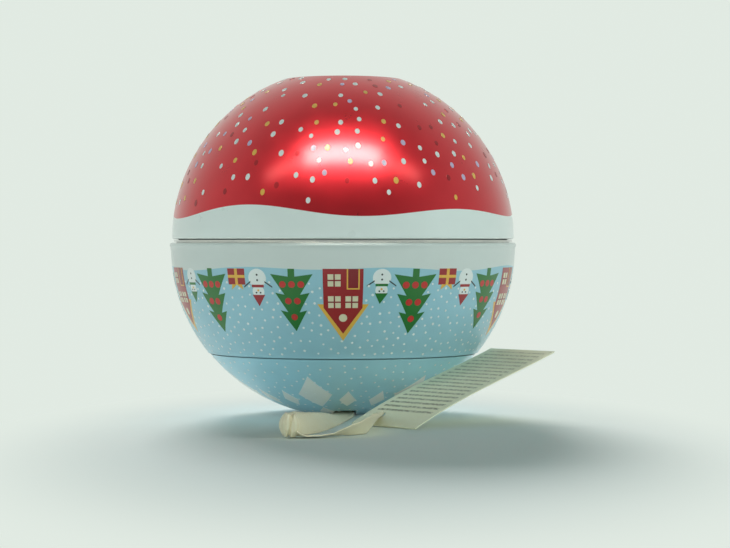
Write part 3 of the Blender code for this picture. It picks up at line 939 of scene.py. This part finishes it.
def make_tag(card):
    """The card, with its punched hole."""
    form = bmesh.new()
    bmesh.ops.create_grid(form, x_segments=TAG_CELLS[0], y_segments=TAG_CELLS[1], size=0.5)
    for vert in form.verts:
        x, y, _ = vert.co * TAG_TRIM
        vert.co = tag_point(0.5 + x, 0.5 + y, TAG_THICKNESS / 2)
    form.normal_update()
    if form.faces[:][0].normal.z < 0:
        bmesh.ops.reverse_faces(form, faces=form.faces)
    bmesh.ops.solidify(form, geom=form.faces[:], thickness=TAG_THICKNESS)
    made = new_object("tag", form)
    _, _, _, out = tag_frame()
    share = TAG_HOLE_INSET / TAG_LENGTH
    centre = tag_point(share, 1 - TAG_HOLE_INSET / TAG_WIDTH)
    turn = out.to_track_quat("Z", "Y").to_matrix().to_4x4()
    punch = bmesh.new()
    bmesh.ops.create_cone(
        punch,
        cap_ends=True,
        segments=TAG_HOLE_SIDES,
        radius1=TAG_HOLE_RADIUS,
        radius2=TAG_HOLE_RADIUS,
        depth=TAG_HOLE_RADIUS * 4,
        matrix=Matrix.Translation(centre) @ turn,
    )
    cut_away(made, new_object("punch", punch))
    finish_piece(made, [card], "cap")
    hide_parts("swing_tag")
    return made


def feed(tree, node, inputs):
    """Set a node's inputs, from other nodes' outputs or as plain values."""
    for name, value in inputs.items():
        if isinstance(value, bpy.types.NodeSocket):
            tree.links.new(value, node.inputs[name])
        else:
            node.inputs[name].default_value = value


def add_node(tree, kind, inputs=None, **settings):
    """A shader node with its settings and its inputs."""
    node = tree.nodes.new("ShaderNode" + kind)
    for name, value in settings.items():
        setattr(node, name, value)
    feed(tree, node, inputs or {})
    return node


def math_node(tree, kind, *values):
    """A Math node's result."""
    return add_node(tree, "Math", dict(enumerate(values)), operation=kind).outputs[0]


def vector_node(tree, kind, first, second, output="Vector"):
    """A Vector Math node's result."""
    return add_node(tree, "VectorMath", {0: first, 1: second}, operation=kind).outputs[output]


def map_range(tree, value, first, last, start=0.0, end=1.0, kind="LINEAR"):
    """A value that goes from first to last while the one it follows goes from start to end."""
    inputs = {"Value": value, "From Min": start, "From Max": end, "To Min": first, "To Max": last}
    return add_node(tree, "MapRange", inputs, interpolation_type=kind).outputs[0]


def noise(tree, place, scale, detail=2.0):
    """A noise that changes over the surface."""
    return add_node(tree, "TexNoise", {"Vector": place, "Scale": scale, "Detail": detail}).outputs[0]


def bump(tree, height, depth, strength):
    """The normals of a surface with this fine height on it."""
    inputs = {"Height": height, "Distance": depth, "Strength": strength}
    return add_node(tree, "Bump", inputs).outputs["Normal"]


def mix_colours(tree, mask, first, second):
    """A colour that goes from the first to the second as the mask rises."""
    inputs = {"Factor": mask}
    for name, colour in (("A", first), ("B", second)):
        inputs[name] = (*colour, 1.0) if isinstance(colour, tuple) else colour
    return add_node(tree, "Mix", inputs, data_type="RGBA").outputs["Result"]


def shade(colour, strength):
    """A colour made a little darker or lighter."""
    return tuple(min(1.0, part * strength) for part in colour)


def mix_shades(tree, tone, colour, shades):
    """A colour that drifts between a darker and a lighter shade of itself."""
    return mix_colours(tree, tone, *(shade(colour, strength) for strength in shades))


def new_material(name, colour, roughness, metallic=0.0, coat=0.0, coat_roughness=0.1):
    """A Principled material with its plain values, and its node tree and shader."""
    material = bpy.data.materials.new(name)
    material.use_nodes = True
    tree = material.node_tree
    shader = tree.nodes["Principled BSDF"]
    plain = {
        "Base Color": (*colour, 1.0),
        "Roughness": roughness,
        "Metallic": metallic,
        "Coat Weight": coat,
        "Coat Roughness": coat_roughness,
    }
    feed(tree, shader, plain)
    return material, tree, shader


def new_group(name, inputs, outputs):
    """A shader node group with its number sockets, and its input and output nodes."""
    group = bpy.data.node_groups.new(name, "ShaderNodeTree")
    for label, value in inputs.items():
        socket = group.interface.new_socket(label, in_out="INPUT", socket_type="NodeSocketFloat")
        socket.default_value = value
    for label in outputs:
        group.interface.new_socket(label, in_out="OUTPUT", socket_type="NodeSocketFloat")
    return group, group.nodes.new("NodeGroupInput").outputs, group.nodes.new("NodeGroupOutput")


def drift_group():
    """A mask that is 1 above a wavy line round the ball, such as a snow margin."""
    group, source, result = new_group("Snow drift line", DRIFT_VALUES, ("Mask",))
    place = add_node(group, "TexCoord").outputs["Object"]
    parts = add_node(group, "SeparateXYZ", {0: place}).outputs
    forward = math_node(group, "MULTIPLY", parts["Y"], -1.0)
    angle = math_node(group, "ARCTAN2", parts["X"], forward)
    angle = math_node(group, "ADD", angle, source["Turn"])
    swell = math_node(group, "COSINE", math_node(group, "MULTIPLY", angle, source["Swells"]))
    swell = math_node(group, "MULTIPLY", swell, source["Swell"])
    ripple = math_node(group, "SINE", math_node(group, "MULTIPLY", angle, source["Ripples"]))
    ripple = math_node(group, "MULTIPLY", ripple, source["Ripple"])
    line = math_node(group, "ADD", source["Height"], math_node(group, "ADD", swell, ripple))
    above = math_node(group, "SUBTRACT", parts["Z"], line)
    soft = math_node(group, "ADD", math_node(group, "MULTIPLY", above, DRIFT_SHARPNESS), 0.5)
    feed(group, result, {"Mask": add_node(group, "Clamp", {0: soft}).outputs[0]})
    return group


def add_drift(tree, group, line):
    """A drift line's mask in a material."""
    return add_node(tree, "Group", dict(zip(DRIFT_VALUES, line)), node_tree=group).outputs["Mask"]


def enamel_skin_group():
    """The fine unevenness of rolled enamel on tinplate, as a height and as a tone."""
    group, source, result = new_group("Enamel skin", {"Scale": SKIN_SCALE}, ("Height", "Tone"))
    place = add_node(group, "TexCoord").outputs["Object"]
    fine = noise(group, place, source["Scale"], detail=3.0)
    feed(group, result, {"Height": fine, "Tone": noise(group, place, TONE_SCALE, detail=3.0)})
    return group


def add_skin(tree, shader, group, gloss):
    """Give an enamel its fine bump and a roughness that drifts between two values; its tone."""
    skin = add_node(tree, "Group", {"Scale": SKIN_SCALE}, node_tree=group).outputs
    normal = bump(tree, skin["Height"], SKIN_DEPTH, SKIN_STRENGTH)
    feed(tree, shader, {"Normal": normal, "Roughness": map_range(tree, skin["Tone"], *gloss)})
    return skin["Tone"]


def red_enamel(drift, skin):
    """Metallic red enamel with the white snow margin at the rim."""
    material, tree, shader = new_material("red enamel", RED, **RED_FINISH)
    tone = add_skin(tree, shader, skin, RED_GLOSS)
    mask = add_drift(tree, drift, MARGIN_LINE)
    red = mix_colours(tree, tone, *RED_TONES)
    white = mix_colours(tree, tone, *MARGIN_TONES)
    metal = math_node(tree, "MULTIPLY", mask, RED_METAL)
    feed(tree, shader, {"Base Color": mix_colours(tree, mask, white, red), "Metallic": metal})
    return material


def band_print(drift, skin):
    """Snow white above the frieze's foot line, dimmed by painted shade, and pale sky below it."""
    material, tree, shader = new_material("band print", SKY, **PRINT_FINISH)
    tone = add_skin(tree, shader, skin, PRINT_GLOSS)
    mask = add_drift(tree, drift, FRIEZE_LINE)
    sky = mix_shades(tree, tone, SKY, SKY_SHADES)
    # The band's white carries painted shade
    white = mix_shades(tree, tone, SNOW_WITH_PAINTED_SHADE, SNOW_PAINTED_SHADE_TONES)
    feed(tree, shader, {"Base Color": mix_colours(tree, mask, sky, white)})
    return material


def plain_print(name, colour, skin, metallic=0.0):
    """A plain printed ink on tinplate, a little uneven in tone and gloss."""
    material, tree, shader = new_material(name, colour, metallic=metallic, **PRINT_FINISH)
    tone = add_skin(tree, shader, skin, PRINT_GLOSS)
    feed(tree, shader, {"Base Color": mix_shades(tree, tone, colour, PRINT_SHADES)})
    return material


def bare_tinplate():
    """Lacquered tinplate: the faint lines of its rolling, and cloudy crystals in the tin."""
    material, tree, shader = new_material("bare tinplate", TIN, roughness=0.28, metallic=1.0)
    place = add_node(tree, "TexCoord").outputs["Object"]
    rolled = add_node(tree, "Mapping", {"Vector": place, "Scale": TIN_GRAIN}).outputs[0]
    grain = noise(tree, rolled, scale=1.0, detail=4.0)
    crystals = add_node(tree, "TexVoronoi", {"Vector": place, "Scale": 160.0, "Randomness": 1.0})
    cell = add_node(tree, "SeparateColor", {0: crystals.outputs["Color"]}).outputs[0]
    looks = {
        "Base Color": mix_colours(tree, cell, *TIN_TONES),
        "Roughness": map_range(tree, grain, *TIN_GLOSS),
        "Normal": bump(tree, grain, depth=0.02 * MM, strength=0.3),
    }
    feed(tree, shader, looks)
    return material


def cream_ribbon():
    """Soft satin: fine weft ribs across the ribbon with painted shade in the grooves between them, creases
    in its surface and a drifting tone.
    """
    material, tree, shader = new_material("cream ribbon", SATIN, roughness=0.5)
    place = add_node(tree, "TexCoord").outputs
    wave = {"Vector": place["UV"], "Scale": 5.0, "Distortion": 0.6}
    ribs = add_node(tree, "TexWave", wave, wave_type="BANDS", bands_direction="X").outputs["Fac"]
    creases = noise(tree, place["Object"], scale=420.0, detail=3.0)
    height = math_node(tree, "ADD", ribs, creases)
    satin = mix_colours(tree, noise(tree, place["Object"], scale=190.0), *SATIN_TONES)
    looks = {
        # The grooves between the ribs take a darker, warmer colour: painted shade
        "Base Color": mix_colours(tree, ribs, SATIN_GROOVE_PAINTED_SHADE, satin),
        "Sheen Weight": 0.12,
        "Normal": bump(tree, height, depth=0.07 * MM, strength=0.5),
    }
    feed(tree, shader, looks)
    return material


def tag_lines(tree):
    """A mask of the plain ruled lines that run across the card's upper face, fading towards its far end as
    painted light.
    """
    corner, along, across, out = tag_frame()
    place = add_node(tree, "TexCoord").outputs
    away = vector_node(tree, "SUBTRACT", place["Object"], corner)
    run = vector_node(tree, "DOT_PRODUCT", away, along, "Value")
    width = vector_node(tree, "DOT_PRODUCT", away, across, "Value")
    facing = vector_node(tree, "DOT_PRODUCT", place["Normal"], out, "Value")
    phase = math_node(tree, "FRACT", math_node(tree, "DIVIDE", run, RULE_PITCH))
    off = math_node(tree, "ABSOLUTE", math_node(tree, "SUBTRACT", phase, 0.5))
    mask = math_node(tree, "LESS_THAN", off, RULE_SHARE / 2)
    limits = (
        ("GREATER_THAN", run, RULE_FIRST),
        ("LESS_THAN", run, TAG_LENGTH - RULE_MARGIN),
        ("GREATER_THAN", width, RULE_MARGIN),
        ("LESS_THAN", width, TAG_WIDTH - RULE_MARGIN),
        ("GREATER_THAN", facing, 0.5),
    )
    for kind, value, limit in limits:
        mask = math_node(tree, "MULTIPLY", mask, math_node(tree, kind, value, limit))
    grain = noise(tree, place["Object"], scale=1300.0)
    worn = map_range(tree, grain, first=0.25, last=1.0, start=0.36, end=0.56)
    # The lines fade towards the far end: painted light where the card stands clear of the ball's shadow
    painted_light_fade = map_range(tree, run, first=1.0, last=0.45, end=TAG_LENGTH)
    return math_node(tree, "MULTIPLY", mask, math_node(tree, "MULTIPLY", worn, painted_light_fade))


def cream_card():
    """Uncoated card with faint fibres, and plain ruled lines in soft brown on its upper face."""
    material, tree, shader = new_material("cream card", CARD, roughness=0.85)
    fibre = noise(tree, add_node(tree, "TexCoord").outputs["Object"], scale=900.0, detail=5.0)
    paper = mix_colours(tree, fibre, *CARD_TONES)
    colour = mix_colours(tree, tag_lines(tree), paper, RULE_BROWN)
    normal = bump(tree, fibre, depth=0.03 * MM, strength=0.5)
    feed(tree, shader, {"Base Color": colour, "Normal": normal})
    return material


def setting_mask(tree):
    """1 for the rays that see the setting itself, in the view, in gloss or through glass."""
    rays = add_node(tree, "LightPath").outputs
    seen = math_node(tree, "MAXIMUM", rays["Is Camera Ray"], rays["Is Glossy Ray"])
    return math_node(tree, "MAXIMUM", seen, rays["Is Transmission Ray"])


def make_floor():
    """A plain pale floor, which keeps the tin's shadow near it and fades into the backdrop."""
    form = bmesh.new()
    bmesh.ops.create_grid(form, x_segments=1, y_segments=1, size=FLOOR_SIZE)
    floor = new_object("floor", form)
    material = bpy.data.materials.new("pale floor")
    material.use_nodes = True
    tree = material.node_tree
    tree.nodes.remove(tree.nodes["Principled BSDF"])
    diffuse = add_node(tree, "BsdfDiffuse", {"Color": (*FLOOR_COLOUR, 1.0)})
    glow = add_node(tree, "Emission", {"Color": (*BACKGROUND, 1.0)})
    place = add_node(tree, "TexCoord").outputs["Object"]
    stretched = vector_node(tree, "MULTIPLY", place, FLOOR_STRETCH)
    away = vector_node(tree, "DISTANCE", stretched, FLOOR_MIDDLE, "Value")
    fade = map_range(tree, away, 0.0, 1.0, *FLOOR_FADE, "SMOOTHSTEP")
    seen = math_node(tree, "MULTIPLY", fade, setting_mask(tree))
    mix = add_node(tree, "MixShader", {0: seen, 1: diffuse.outputs[0], 2: glow.outputs[0]})
    feed(tree, tree.nodes["Material Output"], {0: mix.outputs[0]})
    floor.data.materials.append(material)


def make_world():
    """A pale surround that lights the tin a little, and whose gloss is dimmer high at the front."""
    world = bpy.data.worlds.new("surround")
    bpy.context.scene.world = world
    world.use_nodes = True
    tree = world.node_tree
    place = add_node(tree, "TexCoord").outputs["Generated"]
    depth = add_node(tree, "SeparateXYZ", {0: place}).outputs["Y"]
    strength = map_range(tree, depth, *WORLD_LIGHT, start=-1.0, end=-0.45, kind="SMOOTHSTEP")
    light = tree.nodes["Background"]
    feed(tree, light, {"Color": (*WORLD_COLOUR, 1.0), "Strength": strength})
    toward = vector_node(tree, "DOT_PRODUCT", place, SHADED_SIDE, "Value")
    shaded = map_range(tree, toward, 0.0, SHADED_SHARE, start=0.25, kind="SMOOTHSTEP")
    glossy = add_node(tree, "LightPath").outputs["Is Glossy Ray"]
    level = math_node(tree, "SUBTRACT", 1.0, math_node(tree, "MULTIPLY", shaded, glossy))
    seen = add_node(tree, "Background", {"Color": (*BACKGROUND, 1.0), "Strength": level})
    mix = add_node(tree, "MixShader", {0: setting_mask(tree), 1: light.outputs[0], 2: seen.outputs[0]})
    feed(tree, tree.nodes["World Output"], {0: mix.outputs[0]})


def put_in_scene(data, place, aim):
    """Put the camera or a lamp in its place, looking along its aim."""
    made = bpy.data.objects.new(data.name, data)
    bpy.context.scene.collection.objects.link(made)
    made.location = place
    made.rotation_euler = aim.to_track_quat("-Z", "Y").to_euler()
    return made


def add_lamp(name, place, size, power, tint, seen_in_gloss):
    """A rectangular softbox aimed at the tin, either seen in its gloss or only lighting it."""
    data = bpy.data.lights.new(name, "AREA")
    data.shape = "RECTANGLE"
    data.size, data.size_y = size
    data.energy = power
    data.color = tint
    lamp = put_in_scene(data, place, Vector((0.0, 0.0, BALL_CENTRE)) - Vector(place))
    lamp.visible_glossy = seen_in_gloss
    lamp.visible_diffuse = not seen_in_gloss


def make_camera():
    """The camera in the plane of the equator seam, far enough off for the flat perspective."""
    data = bpy.data.cameras.new("camera")
    data.lens = CAMERA_LENS
    data.sensor_width = SENSOR_WIDTH
    aim = Vector((AXIS_OFFSET_PIXELS, FOCAL_PIXELS, -HORIZON_OFFSET_PIXELS))
    place = (0.0, -CAMERA_DISTANCE, EQUATOR_SEAM)
    bpy.context.scene.camera = put_in_scene(data, place, aim)


def main():
    """Dress the tin."""
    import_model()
    bpy.context.scene.view_settings.view_transform = "Standard"
    make_camera()
    drift = drift_group()
    skin = enamel_skin_group()
    inks = {
        name: plain_print(name + " ink", colour, skin, INK_METAL.get(name, 0.0))
        for name, colour in INK_COLOURS.items()
    }
    tin = bare_tinplate()
    satin = cream_ribbon()

    front_rows, back_rows = strand_rows()
    front, front_path, front_length = make_strand("ribbon_front_strand", front_rows, satin)
    back, back_path, back_length = make_strand("ribbon_back_strand", back_rows, satin)
    knot = make_knot(satin)
    tag = make_tag(cream_card())

    base = turned("base_shell", base_section())
    line_inside(base, DOME_CENTRE)
    finish_piece(base, [red_enamel(drift, skin), tin], "base")
    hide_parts("base_bowl")
    band = turned("band_shell", band_section())
    line_inside(band, BALL_CENTRE)
    finish_piece(band, [band_print(drift, skin), tin], "middle_tier")
    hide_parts("middle_wall")
    pan = turned("floor_pan", pan_section())
    finish_piece(pan, [tin], "middle_tier")
    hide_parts("middle_floor")
    cap = make_cap()
    line_inside(cap, BALL_CENTRE)
    # The cap print's lighter sky is painted bounce light
    finish_piece(cap, [plain_print("cap print", shade(SKY, CAP_SKY_PAINTED_BOUNCE), skin), tin], "cap")
    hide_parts("top_cap")

    make_frieze(inks)
    make_confetti(inks)
    make_snowfall(inks["snow"])
    make_snowflake(plain_print("snowflake ink", FLAKE_WHITE, skin))

    make_floor()
    make_world()
    for lamp in LAMPS:
        add_lamp(*lamp)


main()
